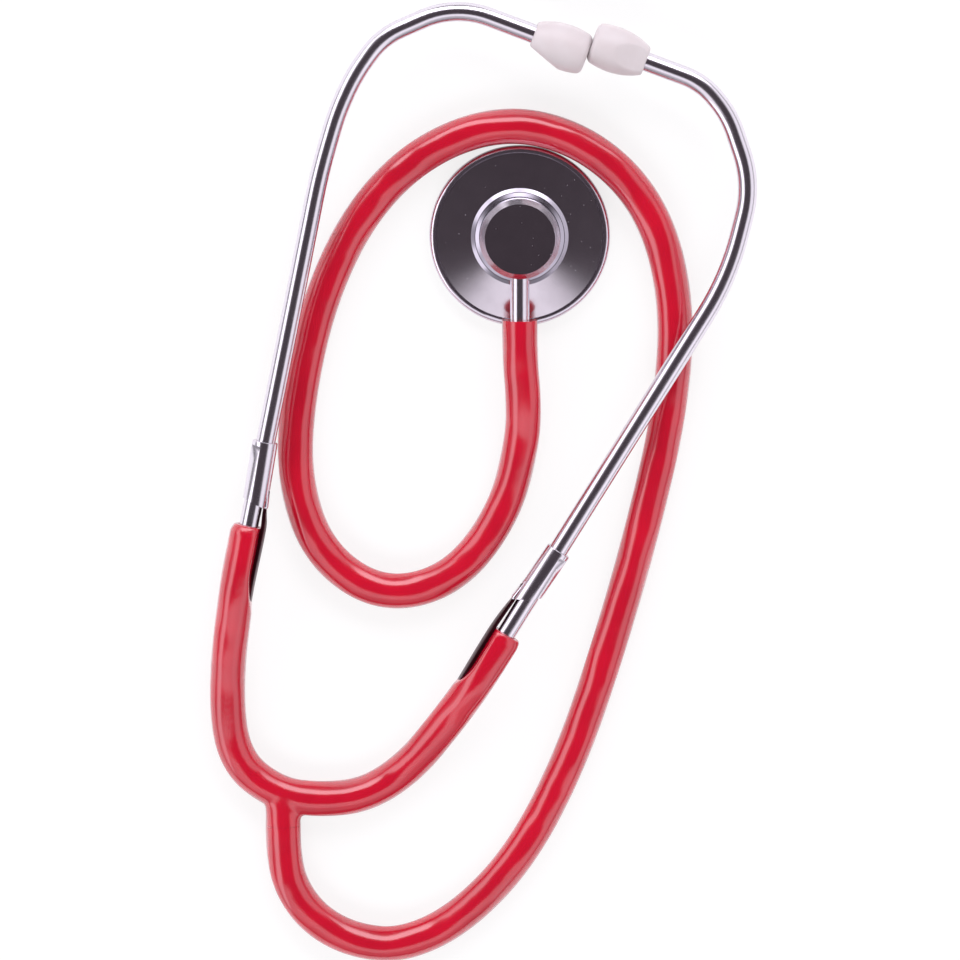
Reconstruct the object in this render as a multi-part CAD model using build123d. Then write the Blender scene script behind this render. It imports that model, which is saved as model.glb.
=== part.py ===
from build123d import *
import math
import os

os.makedirs("parts", exist_ok=True)

# Toy stethoscope, lying on a table with its diaphragm down. Millimetres.
# Origin: middle of the diaphragm's outer face. +Z is up through the hub, and
# the hose leaves the hub towards -Y. The table is the plane Z = 0.

# ---- chest piece ----
RIM_RADIUS = 23.0
RIM_HEIGHT = 4.4
RIM_WALL = 1.6
RIM_ROUND = 1.3
RIM_LIP = 0.5
RIM_LIP_REACH = 3.4
DIAPHRAGM_THICKNESS = 0.3
DIAPHRAGM_SLOPE = 0.8
THREAD_CLEARANCE = 0.05
PLATE_EDGE_DROP = 0.4
PLATE_TOP_HEIGHT = 6.1
CHAMBER_RADIUS = 18.5
CHAMBER_EDGE_DEPTH = 0.7
CHAMBER_CENTRE_DEPTH = 2.6
COLLAR_RADIUS = 12.4
COLLAR_HEIGHT = 0.7
COLLAR_STEP_RADIUS = 11.3
COLLAR_STEP_HEIGHT = 0.4
COLLAR_LEDGE = 0.15
GROOVE_RADIUS = 9.7
GROOVE_WIDTH = 0.5
HUB_RADIUS = 10.2
HUB_HEIGHT = 14.2
HUB_BEVEL = 1.3
SOUND_HOLE_RADIUS = 1.6

# ---- stem ----
STEM_RADIUS = 2.45
STEM_SEAT_DEPTH = 5.0
STEM_IN_HOSE = 7.0
STEM_ABOVE_COLLAR = 0.25
FIT_CLEARANCE = 0.05

# ---- tubing ----
TUBING_RADIUS = 4.5
TUBING_BORE_RADIUS = 2.5
STUB_OVERLAP = 1.2
LIP_ROUND = 1.0
ARC_SHARE = 0.45

# ---- headset ----
EAR_TUBE_RADIUS = 2.45
EAR_TUBE_WALL = 0.6
EAR_TUBE_IN_TUBING = 9.0
SLEEVE_RADIUS = 3.25
SLEEVE_LENGTH = 17.0
SLEEVE_TILT = 2.0
SLEEVE_SHIFT = 0.15
SLEEVE_ROUND = 0.35
CROSSING_GAP = 0.45
TIP_ANGLE = 20.5

# ---- leaf spring ----
SPRING_THICKNESS = 0.9
SPRING_WIDTH = 3.0
SPRING_INSET = 3.35
SPRING_BARE_INSET = 3.75
SPRING_SLEEVE_INSET = 3.1
SPRING_IN_SLEEVE = 5.0
SPRING_JOG = 3.0
SPRING_JOG_RADIUS = 6.0
LUG_WALL = 0.65
LUG_ROUND = 0.4

# ---- ear tips ----
TIP_LENGTH = 14.2
TIP_FRONT = 5.2
TIP_REAR_RADIUS = 3.6
TIP_SHOULDER_RADIUS = 5.5
TIP_RADIUS = 5.8
TIP_FRONT_RADIUS = 5.0
TIP_SHOULDER_SHARE = 0.37
TIP_WIDEST_SHARE = 0.66
TIP_FRONT_ROUND = 1.2
TIP_EDGE_ROUND = 0.6
TIP_OFFSET = 0.4
TIP_CUT_NEAR = 3.1
TIP_CUT_FAR = 6.9
TIP_CUT_LENGTH = 10.6
TIP_HOLE_RADIUS = 1.3
TIP_GAP = 0.5

# Heights that follow from the sizes above.
TABLE_Z = 0.0
LAY_Z = TABLE_Z + TUBING_RADIUS
HEADSET_Z = TABLE_Z + 2 * TUBING_RADIUS + CROSSING_GAP + SLEEVE_RADIUS
REACH = 250.0
COLLAR_TOP = PLATE_TOP_HEIGHT + COLLAR_HEIGHT + COLLAR_STEP_HEIGHT
STEM_Z = COLLAR_TOP + STEM_ABOVE_COLLAR + STEM_RADIUS
TIP_SOCKET = TIP_LENGTH - TIP_FRONT
TUBE_END = TIP_GAP / 2 + TIP_FRONT

# Each side of the headset: where the tubing's mouth lies, the way the straight
# of the ear tube points (degrees from +Y towards +X), which way is inwards
# (+1 towards +X), how much bare tube stands between mouth and sleeve, how much
# of the spring is bare beside the tubing, how far the tubing and the ear tube
# run straight from the mouth, and where the straight before the ear tip starts.
SIDES = {
    "left": {
        "mouth": (-68.9, -73.0),
        "angle": 11.5,
        "inward": 1,
        "sleeve_gap": 4.9,
        "bare": 24.0,
        "arm_straight": 16.0,
        "tube_straight": 92.0,
        "tip_straight": 35.5,
    },
    "right": {
        "mouth": (-3.4, -100.9),
        "angle": 31.7,
        "inward": -1,
        "sleeve_gap": 8.3,
        "bare": 20.0,
        "arm_straight": 15.0,
        "tube_straight": 107.0,
        "tip_straight": 29.5,
    },
}
# Where the two ear tips face each other, and how far each tip's tube lies from it.
TIPS_MEET = (17.6, 48.3)
TIP_SIDE_SHIFT = {"left": -1.7, "right": 1.7}

# The hose from the fork's stub to the stem: the corners of its runs.
HOSE_END = -20.9
HOSE_POINTS = [
    (-60.8, -152.0, LAY_Z),
    (-60.8, -160.0, LAY_Z),
    (-58.4, -169.2, LAY_Z),
    (-52.2, -177.2, LAY_Z),
    (-42.5, -182.3, LAY_Z),
    (-30.0, -183.6, LAY_Z),
    (-15.0, -176.4, LAY_Z),
    (0.5, -160.0, LAY_Z),
    (13.2, -135.0, LAY_Z),
    (23.0, -105.5, LAY_Z),
    (31.6, -75.0, LAY_Z),
    (38.6, -44.0, LAY_Z),
    (40.3, -17.0, LAY_Z),
    (34.0, 7.0, LAY_Z),
    (19.0, 23.0, LAY_Z),
    (-1.5, 29.6, LAY_Z),
    (-22.5, 23.4, LAY_Z),
    (-39.3, 8.0, LAY_Z),
    (-50.5, -14.5, LAY_Z),
    (-56.5, -40.0, LAY_Z),
    (-57.8, -62.0, LAY_Z),
    (-51.3, -81.7, LAY_Z),
    (-35.2, -92.7, LAY_Z),
    (-16.8, -88.2, LAY_Z),
    (-3.8, -71.0, LAY_Z),
    (0.8, -52.0, 5.9),
    (1.0, -41.0, 8.8),
    (0.0, -30.5, STEM_Z),
    (0.0, HOSE_END, STEM_Z),
]


def corner_radii(points):
    """The largest radius at each corner that leaves its two runs ARC_SHARE each."""
    radii = []
    for before, here, after in zip(points, points[1:], points[2:]):
        run_in = Vector(*here) - Vector(*before)
        run_out = Vector(*after) - Vector(*here)
        half_turn = math.radians(run_in.get_angle(run_out)) / 2
        radii.append(ARC_SHARE * min(run_in.length, run_out.length) / math.tan(half_turn))
    return radii


def smooth_path(points):
    return FilletPolyline(*points, radius=corner_radii(points))


def section_on(path, radius):
    return Plane(origin=path @ 0, z_dir=path % 0) * Circle(radius)


def rod_along(path, radius):
    return sweep(section_on(path, radius), path=path)


def tube_along(path, outer, inner):
    return rod_along(path, outer) - rod_along(path, inner)


def turned(profile):
    """A solid of revolution about Z from (radius, height) points."""
    outline = Polyline(*[(radius, 0, height) for radius, height in profile], close=True)
    return revolve(make_face(outline), Axis.Z)


def on_axis(side, along, across=0.0, height=None):
    """A point near the straight of an ear tube: along it from the tubing's mouth, across it inwards."""
    data = SIDES[side]
    angle = math.radians(data["angle"])
    x = data["mouth"][0] + along * math.sin(angle) + across * data["inward"] * math.cos(angle)
    y = data["mouth"][1] + along * math.cos(angle) - across * data["inward"] * math.sin(angle)
    return (x, y, HEADSET_Z if height is None else height)


def at_tips(side, back):
    """A point on the line of a tip's tube, back from the plane between the tips."""
    angle = math.radians(-TIP_ANGLE)
    way = -1 if side == "left" else 1
    shift = TIP_SIDE_SHIFT[side]
    x = TIPS_MEET[0] + way * back * math.cos(angle) - shift * math.sin(angle)
    y = TIPS_MEET[1] + way * back * math.sin(angle) + shift * math.cos(angle)
    return (x, y, HEADSET_Z)


# The fork of the tubing: the corners of each arm's runs from its mouth down, and
# of the bow's runs from left to right.
ARM_POINTS = {
    "left": [
        on_axis("left", 0),
        on_axis("left", -SIDES["left"]["arm_straight"]),
        (-75.4, -115.5, 7.6),
        (-73.5, -135.0, LAY_Z),
    ],
    "right": [
        on_axis("right", 0),
        on_axis("right", -SIDES["right"]["arm_straight"]),
        (-18.3, -124.0, 8.6),
        (-28.0, -136.6, LAY_Z),
    ],
}
BOW_POINTS = [
    (-62.3, -144.0, LAY_Z),
    (-50.5, -145.4, LAY_Z),
    (-39.0, -144.0, LAY_Z),
]
FORK_POINTS = ARM_POINTS["left"] + BOW_POINTS + ARM_POINTS["right"][::-1]


def flex_point(side):
    """The fork flexes in the middle of the run that joins its bow to an arm."""
    bow_end = BOW_POINTS[0] if side == "left" else BOW_POINTS[-1]
    return tuple((a + b) / 2 for a, b in zip(ARM_POINTS[side][-1], bow_end))


def fork_part(part, seen=list):
    """The points of the bow, or of an arm from its flex point up, and the radius of each corner."""
    fork = seen(FORK_POINTS)
    radii = dict(zip(fork[1:-1], corner_radii(fork)))
    if part == "bow":
        points = seen([flex_point("left")] + BOW_POINTS + [flex_point("right")])
    else:
        points = seen([flex_point(part)] + ARM_POINTS[part][::-1])
    return points, [radii[point] for point in points[1:-1]]


EAR_TUBE_POINTS = {
    "left": [
        on_axis("left", -EAR_TUBE_IN_TUBING),
        on_axis("left", SIDES["left"]["tube_straight"]),
        (-46.0, 32.5, HEADSET_Z),
        (-41.5, 42.0, HEADSET_Z),
        (-34.8, 51.0, HEADSET_Z),
        at_tips("left", SIDES["left"]["tip_straight"]),
        at_tips("left", TUBE_END),
    ],
    "right": [
        on_axis("right", -EAR_TUBE_IN_TUBING),
        on_axis("right", SIDES["right"]["tube_straight"]),
        (58.7, 14.0, HEADSET_Z),
        (52.7, 31.5, HEADSET_Z),
        at_tips("right", SIDES["right"]["tip_straight"]),
        at_tips("right", TUBE_END),
    ],
}


# ---- chest piece ----
def seat_z():
    """Height of the shoulder that clamps the diaphragm's flange on the rim's lip."""
    return RIM_LIP + DIAPHRAGM_THICKNESS


def make_retaining_ring():
    bore = RIM_RADIUS - RIM_WALL
    lip_bore = RIM_RADIUS - RIM_LIP_REACH
    ring = turned([
        (lip_bore, TABLE_Z),
        (RIM_RADIUS, TABLE_Z),
        (RIM_RADIUS, RIM_HEIGHT),
        (bore, RIM_HEIGHT),
        (bore, RIM_LIP),
        (lip_bore, RIM_LIP),
    ])
    outer = ring.edges().filter_by(GeomType.CIRCLE).filter_by(
        lambda edge: abs(edge.radius - RIM_RADIUS) < 1e-6)
    return fillet(outer, RIM_ROUND)


def make_diaphragm():
    edge = RIM_RADIUS - RIM_WALL - THREAD_CLEARANCE
    step = RIM_RADIUS - RIM_LIP_REACH - THREAD_CLEARANCE
    face = step - DIAPHRAGM_SLOPE
    return turned([
        (0, TABLE_Z),
        (face, TABLE_Z),
        (step, RIM_LIP),
        (edge, RIM_LIP),
        (edge, seat_z()),
        (step - DIAPHRAGM_SLOPE / 2, seat_z()),
        (face - DIAPHRAGM_SLOPE / 2, TABLE_Z + DIAPHRAGM_THICKNESS),
        (0, TABLE_Z + DIAPHRAGM_THICKNESS),
    ])


def make_chest_body():
    edge = RIM_RADIUS - RIM_WALL - THREAD_CLEARANCE
    collar_base = PLATE_TOP_HEIGHT + COLLAR_HEIGHT
    groove_top = COLLAR_TOP + STEM_ABOVE_COLLAR + GROOVE_WIDTH
    body = turned([
        (0, seat_z() + CHAMBER_CENTRE_DEPTH),
        (CHAMBER_RADIUS, seat_z() + CHAMBER_EDGE_DEPTH),
        (CHAMBER_RADIUS, seat_z()),
        (edge, seat_z()),
        (edge, RIM_HEIGHT - PLATE_EDGE_DROP),
        (COLLAR_RADIUS, PLATE_TOP_HEIGHT),
        (COLLAR_STEP_RADIUS + COLLAR_LEDGE, collar_base),
        (COLLAR_STEP_RADIUS, collar_base),
        (HUB_RADIUS + COLLAR_LEDGE, COLLAR_TOP),
        (GROOVE_RADIUS, COLLAR_TOP),
        (GROOVE_RADIUS, groove_top),
        (HUB_RADIUS, groove_top),
        (HUB_RADIUS, HUB_HEIGHT - HUB_BEVEL),
        (HUB_RADIUS - HUB_BEVEL, HUB_HEIGHT),
        (0, HUB_HEIGHT),
    ])
    shaft_top = STEM_Z + SOUND_HOLE_RADIUS
    shaft = Pos(0, 0, shaft_top / 2) * Cylinder(SOUND_HOLE_RADIUS, shaft_top)
    seat_radius = STEM_RADIUS + FIT_CLEARANCE
    seat_end = Plane(origin=(0, -HUB_RADIUS + STEM_SEAT_DEPTH, STEM_Z), z_dir=(0, -1, 0))
    seat = extrude(seat_end * Circle(seat_radius), 2 * HUB_RADIUS)
    cross_hole = extrude(Plane(origin=(0, 0, STEM_Z), z_dir=(0, -1, 0)) * Circle(SOUND_HOLE_RADIUS), HUB_RADIUS)
    return body - shaft - seat - cross_hole


def make_stem():
    inner_end = -HUB_RADIUS + STEM_SEAT_DEPTH
    length = inner_end - (HOSE_END - STEM_IN_HOSE)
    ends_at = Plane(origin=(0, inner_end, STEM_Z), z_dir=(0, -1, 0))
    stem = extrude(ends_at * Circle(STEM_RADIUS), length)
    return stem - extrude(ends_at * Circle(SOUND_HOLE_RADIUS), length)


# ---- tubing ----
def make_hose():
    path = smooth_path(HOSE_POINTS)
    hose = tube_along(path, TUBING_RADIUS, TUBING_BORE_RADIUS)
    section = math.pi * (TUBING_RADIUS**2 - TUBING_BORE_RADIUS**2)
    print("hose length", round(path.length, 1))
    print("hose radii", [round(radius, 1) for radius in corner_radii(HOSE_POINTS)])
    print("hose volume / (section x length)", round(hose.volume / (section * path.length), 4))
    return hose


def in_plan(points):
    return [(x, y, 0) for x, y, z in points]


def from_side(points):
    return [(0, y, z) for x, y, z in points]


def moved_right(points, distance):
    """Corners of the line that runs beside a plan line, to the right of its way."""
    ways = [(Vector(*end) - Vector(*start)).normalized() for start, end in zip(points, points[1:])]
    rights = [Vector(way.Y, -way.X, 0) for way in ways]
    moved = []
    for index, point in enumerate(points):
        before = rights[max(index - 1, 0)]
        after = rights[min(index, len(rights) - 1)]
        mitre = (before + after) * (distance / (1 + before.dot(after)))
        moved.append(Vector(*point) + mitre)
    return moved


def back_from(end, start, distance):
    return end + (start - end).normalized() * distance


def strip_along(points, radii, across, width, thickness):
    """A strip swept along a line, its width in the given direction."""
    path = FilletPolyline(*points, radius=radii)
    return sweep(Plane(origin=path @ 0, x_dir=across, z_dir=path % 0) * Rectangle(width, thickness), path=path)


def leg_plan(side):
    """Plan line of a spring leg: covered by the arm, then bare beside it, then into the sleeve."""
    data = SIDES[side]
    corners, radii = fork_part(side, in_plan)
    covered = moved_right(corners, data["inward"] * SPRING_INSET)
    bare = moved_right(corners, data["inward"] * SPRING_BARE_INSET)
    straight = (bare[-1] - bare[-2]).length
    before_bend = data["bare"] - straight
    sleeve = data["sleeve_gap"]
    points = covered[:3] + [
        back_from(covered[3], covered[2], before_bend + SPRING_JOG),
        back_from(bare[3], bare[2], before_bend - SPRING_JOG),
        bare[3],
        on_axis(side, sleeve - SPRING_JOG, SPRING_BARE_INSET, 0),
        on_axis(side, sleeve, SPRING_SLEEVE_INSET, 0),
        on_axis(side, sleeve + SPRING_IN_SLEEVE, SPRING_SLEEVE_INSET, 0),
    ]
    first = radii[0] - SPRING_INSET
    second = min(radii[1] - SPRING_INSET, corner_radii(points)[1])
    return points, [first, second] + [SPRING_JOG_RADIUS] * 5


def make_spring_leg(side, grow=0.0):
    """A leg of the leaf spring, upright beside the bore; its pocket is the same shape, grown."""
    points, radii = leg_plan(side)
    plan = strip_along(points, radii, (0, 0, 1), 4 * HEADSET_Z, SPRING_THICKNESS + 2 * grow)
    corners = from_side(fork_part(side)[0])
    corners[0] = (0, corners[0][1] - SLEEVE_LENGTH, LAY_Z)
    corners[-1] = (0, corners[-1][1] + 2 * SLEEVE_LENGTH, HEADSET_Z)
    heights = strip_along(corners, corner_radii(corners), (1, 0, 0), 2 * REACH, SPRING_WIDTH + 2 * grow)
    return plan & heights


def make_spring_bow(grow=0.0):
    corners, radii = fork_part("bow", in_plan)
    corners = moved_right(corners, -SPRING_INSET)
    radii = [radius - SPRING_INSET for radius in radii]
    bow = strip_along(corners, radii, (0, 0, 1), SPRING_WIDTH + 2 * grow, SPRING_THICKNESS + 2 * grow)
    return Pos(0, 0, LAY_Z) * bow


def make_bare_cut(side):
    """What is cut off the arm beside the bare end of its spring."""
    data = SIDES[side]
    corners, radii = fork_part(side, in_plan)
    near_side = SPRING_BARE_INSET - SPRING_THICKNESS / 2 - FIT_CLEARANCE
    near = moved_right(corners, data["inward"] * near_side)
    far = moved_right(corners, data["inward"] * 2 * TUBING_RADIUS)
    before_bend = data["bare"] - (near[-1] - near[-2]).length
    outline = [
        back_from(near[3], near[2], before_bend),
        near[3],
        on_axis(side, TUBING_RADIUS, near_side, 0),
        on_axis(side, TUBING_RADIUS, 2 * TUBING_RADIUS, 0),
        far[3],
        back_from(far[3], far[2], before_bend),
    ]
    return extrude(make_face(Polyline(*outline, close=True)), 2 * HEADSET_Z, dir=(0, 0, 1))


def make_arm(side):
    points, radii = fork_part(side)
    path = FilletPolyline(*points, radius=radii)
    outer = rod_along(path, TUBING_RADIUS)
    mouth = outer.faces().sort_by_distance(Vector(*on_axis(side, 0)))[0]
    outer = fillet(mouth.edges(), LIP_ROUND)
    bore = rod_along(path, TUBING_BORE_RADIUS)
    return outer - bore - make_spring_leg(side, FIT_CLEARANCE) - make_bare_cut(side)


def make_y_tubing():
    points, radii = fork_part("bow")
    path = FilletPolyline(*points, radius=radii)
    stub_x, stub_end, stub_z = HOSE_POINTS[0]
    stub_top = min(y for x, y, z in BOW_POINTS) + STUB_OVERLAP
    stub_plane = Plane(origin=(stub_x, stub_top, stub_z), z_dir=(0, -1, 0))
    stub_length = stub_top - stub_end
    outer = rod_along(path, TUBING_RADIUS) + extrude(stub_plane * Circle(TUBING_RADIUS), stub_length)
    bore = rod_along(path, TUBING_BORE_RADIUS)
    stub_bore = extrude(stub_plane * Circle(TUBING_BORE_RADIUS), stub_length)
    return outer - bore - stub_bore - make_spring_bow(FIT_CLEARANCE)


# ---- headset ----
def make_ear_tube(side):
    path = smooth_path(EAR_TUBE_POINTS[side])
    return tube_along(path, EAR_TUBE_RADIUS, EAR_TUBE_RADIUS - EAR_TUBE_WALL)


def make_sleeve(side):
    data = SIDES[side]
    low = data["sleeve_gap"]
    angle = math.radians(data["angle"])
    along = Vector(math.sin(angle), math.cos(angle), 0)
    centre = Vector(*on_axis(side, low + SLEEVE_LENGTH / 2, SLEEVE_SHIFT))
    tilt = math.radians(data["angle"] - data["inward"] * SLEEVE_TILT)
    leaning = Vector(math.sin(tilt), math.cos(tilt), 0)
    barrel_start = Plane(origin=centre - leaning * (SLEEVE_LENGTH / 2), z_dir=leaning)
    barrel = extrude(barrel_start * Circle(SLEEVE_RADIUS), SLEEVE_LENGTH)
    barrel = fillet(barrel.edges().filter_by(GeomType.CIRCLE), SLEEVE_ROUND)

    lug_reach = SPRING_SLEEVE_INSET + SPRING_THICKNESS / 2 + LUG_WALL
    lug_length = SPRING_IN_SLEEVE + LUG_WALL
    lug_width = SPRING_WIDTH + 2 * LUG_WALL
    lug = Box(lug_reach, lug_width, lug_length)
    lug = fillet(lug.edges(), LUG_ROUND)
    lug_centre = on_axis(side, low + lug_length / 2, lug_reach / 2)
    inward = Vector(*on_axis(side, 0, 1)) - Vector(*on_axis(side, 0, 0))
    lug = Plane(origin=lug_centre, x_dir=inward, z_dir=along) * lug

    slot_reach = SPRING_SLEEVE_INSET + SPRING_THICKNESS / 2 + FIT_CLEARANCE
    slot_length = SPRING_IN_SLEEVE + FIT_CLEARANCE
    slot = Box(slot_reach, SPRING_WIDTH + 2 * FIT_CLEARANCE, 2 * slot_length)
    slot = Plane(origin=on_axis(side, low, slot_reach / 2), x_dir=inward, z_dir=along) * slot

    bore_start = Plane(origin=on_axis(side, low - SLEEVE_LENGTH), z_dir=along)
    bore = extrude(bore_start * Circle(EAR_TUBE_RADIUS + FIT_CLEARANCE), 3 * SLEEVE_LENGTH)
    return barrel + lug - slot - bore


def make_ear_tip(side):
    """A tip along +Z from its rear to its flat front, with the deep side of its cut towards +X."""
    side_line = Spline(
        (TIP_REAR_RADIUS, 0, 0),
        (TIP_SHOULDER_RADIUS, 0, TIP_LENGTH * TIP_SHOULDER_SHARE),
        (TIP_RADIUS, 0, TIP_LENGTH * TIP_WIDEST_SHARE),
        (TIP_FRONT_RADIUS, 0, TIP_LENGTH))
    rest = Polyline((TIP_FRONT_RADIUS, 0, TIP_LENGTH), (0, 0, TIP_LENGTH), (0, 0, 0), (TIP_REAR_RADIUS, 0, 0))
    barrel = Pos(TIP_OFFSET, 0, 0) * revolve(make_face(side_line + rest), Axis.Z)
    wedge_outline = Polyline(
        (TIP_CUT_NEAR, 0, 0),
        (TIP_CUT_FAR, 0, TIP_CUT_LENGTH),
        (3 * TIP_CUT_FAR, 0, TIP_CUT_LENGTH),
        (3 * TIP_CUT_FAR, 0, -TIP_LENGTH),
        (TIP_CUT_NEAR, 0, -TIP_LENGTH),
        close=True)
    barrel = barrel - extrude(make_face(wedge_outline), 2 * TIP_RADIUS, both=True)
    front = barrel.faces().sort_by(Axis.Z)[-1]
    barrel = fillet(front.edges(), TIP_FRONT_ROUND)
    rear = barrel.faces().sort_by(Axis.Z)[0]
    barrel = fillet(rear.edges(), TIP_EDGE_ROUND)
    socket = Pos(0, 0, TIP_SOCKET / 2) * Cylinder(EAR_TUBE_RADIUS + FIT_CLEARANCE, TIP_SOCKET)
    hole = Pos(0, 0, TIP_LENGTH / 2) * Cylinder(TIP_HOLE_RADIUS, 2 * TIP_LENGTH)
    tip = barrel - socket - hole
    rear = Vector(*at_tips(side, TIP_GAP / 2 + TIP_LENGTH))
    front_point = Vector(*at_tips(side, TIP_GAP / 2))
    along = (front_point - rear).normalized()
    deep_side = Vector(-math.sin(math.radians(TIP_ANGLE)), -math.cos(math.radians(TIP_ANGLE)), 0)
    if side == "right":
        deep_side = Vector(0, 0, 1)
    return Plane(origin=rear, x_dir=deep_side, z_dir=along) * tip


solids = {
    "chest_body": make_chest_body(),
    "retaining_ring": make_retaining_ring(),
    "diaphragm": make_diaphragm(),
    "stem": make_stem(),
    "hose": make_hose(),
    "y_tubing": make_y_tubing(),
    "leaf_spring": make_spring_bow(),
}
for side in SIDES:
    solids[f"{side}_arm_tubing"] = make_arm(side)
    solids[f"{side}_spring_leg"] = make_spring_leg(side)
    solids[f"{side}_sleeve"] = make_sleeve(side)
    solids[f"{side}_ear_tube"] = make_ear_tube(side)
    solids[f"{side}_ear_tip"] = make_ear_tip(side)

for name, solid in solids.items():
    export_step(solid, f"parts/{name}.step")
    print(name, round(solid.volume, 1), [round(v, 1) for v in solid.bounding_box().size])
for side in SIDES:
    print(side, "flex point", [round(v, 2) for v in flex_point(side)])
    print(side, "mouth", [round(v, 2) for v in on_axis(side, 0)])
    print(side, "tip", [round(v, 2) for v in at_tips(side, TIP_GAP / 2 + TIP_LENGTH)])
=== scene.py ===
import math

import bpy
from mathutils import Euler, Matrix, Vector


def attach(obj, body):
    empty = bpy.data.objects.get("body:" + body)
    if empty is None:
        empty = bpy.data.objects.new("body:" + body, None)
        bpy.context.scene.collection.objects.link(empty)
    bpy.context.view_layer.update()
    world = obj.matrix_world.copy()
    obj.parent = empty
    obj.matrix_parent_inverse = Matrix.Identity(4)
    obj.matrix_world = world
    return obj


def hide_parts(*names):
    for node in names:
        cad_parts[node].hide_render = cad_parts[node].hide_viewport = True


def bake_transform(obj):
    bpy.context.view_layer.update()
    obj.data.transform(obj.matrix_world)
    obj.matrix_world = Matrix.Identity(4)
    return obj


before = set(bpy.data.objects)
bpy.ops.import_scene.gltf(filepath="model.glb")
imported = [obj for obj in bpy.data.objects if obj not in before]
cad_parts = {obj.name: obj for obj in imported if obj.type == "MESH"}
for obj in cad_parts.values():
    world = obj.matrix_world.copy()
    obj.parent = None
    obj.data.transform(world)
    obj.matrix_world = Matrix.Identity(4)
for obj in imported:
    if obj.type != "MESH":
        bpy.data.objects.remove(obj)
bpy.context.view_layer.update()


# ---- Camera ----
# The stethoscope lies on a table and is seen from straight above, by a camera
# that leans a little towards the ear tips.
MM = 0.001
VIEW_CENTRE = Vector((-10.1, -63.0, 0)) * MM
VIEW_WIDTH = 246.2 * MM
VIEW_DISTANCE = 1.5
VIEW_LEAN = math.radians(7)

lean = Vector((0, math.sin(VIEW_LEAN), math.cos(VIEW_LEAN)))
bpy.ops.object.camera_add(location=VIEW_CENTRE + VIEW_DISTANCE * lean, rotation=(-VIEW_LEAN, 0, 0))
camera = bpy.context.object
camera.data.lens = camera.data.sensor_width * VIEW_DISTANCE / VIEW_WIDTH
bpy.context.scene.camera = camera
bpy.context.scene.view_settings.view_transform = "Standard"


# ---- Hose ----
# One long soft PVC hose from the fork's stub round to the chest piece's stem,
# 9 mm across, extruded and red right through, with a wet gloss.
TUBING_RADIUS = 4.5
LAY_Z = 4.5
STEM_Z = 9.9
HOSE_POINTS = [
    (-60.8, -152.0, LAY_Z),
    (-60.8, -160.0, LAY_Z),
    (-58.4, -169.2, LAY_Z),
    (-52.2, -177.2, LAY_Z),
    (-42.5, -182.3, LAY_Z),
    (-30.0, -183.6, LAY_Z),
    (-15.0, -176.4, LAY_Z),
    (0.5, -160.0, LAY_Z),
    (13.2, -135.0, LAY_Z),
    (23.0, -105.5, LAY_Z),
    (31.6, -75.0, LAY_Z),
    (38.6, -44.0, LAY_Z),
    (40.3, -17.0, LAY_Z),
    (34.0, 7.0, LAY_Z),
    (19.0, 23.0, LAY_Z),
    (-1.5, 29.6, LAY_Z),
    (-22.5, 23.4, LAY_Z),
    (-39.3, 8.0, LAY_Z),
    (-50.5, -14.5, LAY_Z),
    (-56.5, -40.0, LAY_Z),
    (-57.8, -62.0, LAY_Z),
    (-51.3, -81.7, LAY_Z),
    (-35.2, -92.7, LAY_Z),
    (-16.8, -88.2, LAY_Z),
    (-3.8, -71.0, LAY_Z),
    (0.8, -52.0, 5.9),
    (1.0, -41.0, 8.8),
    (0.0, -30.5, STEM_Z),
    (0.0, -20.9, STEM_Z),
]


def smooth_line(name, points, radius, steps=12, round_steps=12):
    """A round rod whose centreline is a smooth curve guided by points in millimetres."""
    bpy.ops.object.select_all(action="DESELECT")
    bpy.ops.curve.primitive_nurbs_path_add(location=(0, 0, 0))
    rod = bpy.context.object
    rod.name = name
    rod.data.splines.clear()
    spline = rod.data.splines.new("NURBS")
    spline.points.add(len(points) - 1)
    for control, (x, y, z) in zip(spline.points, points):
        control.co = (x * MM, y * MM, z * MM, 1)
    spline.order_u = 3
    spline.use_endpoint_u = True
    spline.use_smooth = True
    rod.data.dimensions = "3D"
    rod.data.resolution_u = steps
    rod.data.render_resolution_u = steps
    rod.data.bevel_depth = radius * MM
    rod.data.bevel_resolution = round_steps
    rod.data.use_fill_caps = True
    return rod


def hex_colour(code):
    """An sRGB hex value as linear red, green, blue and alpha."""
    channels = [int(code[i:i + 2], 16) / 255 for i in (1, 3, 5)]
    linear = [c / 12.92 if c <= 0.04045 else ((c + 0.055) / 1.055) ** 2.4 for c in channels]
    return (*linear, 1)


def add_node(tree, kind, inputs=None, **settings):
    """Adds a node, sets its properties, and fills its inputs with values or links."""
    new = tree.nodes.new(kind)
    for key, value in settings.items():
        setattr(new, key, value)
    for key, value in (inputs or {}).items():
        if isinstance(value, bpy.types.NodeSocket):
            tree.links.new(value, new.inputs[key])
        else:
            new.inputs[key].default_value = value
    return new


def new_material(name, **inputs):
    """A material with one Principled shader, and its node tree and shader."""
    material = bpy.data.materials.new(name)
    material.use_nodes = True
    shader = material.node_tree.nodes["Principled BSDF"]
    for key, value in inputs.items():
        shader.inputs[key.replace("_", " ")].default_value = value
    return material, material.node_tree, shader


# A Mix node's colour sockets and a Math node's inputs go by number, because their
# names aren't unique.
MIX_A, MIX_B, MIX_RESULT = 6, 7, 2

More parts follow.
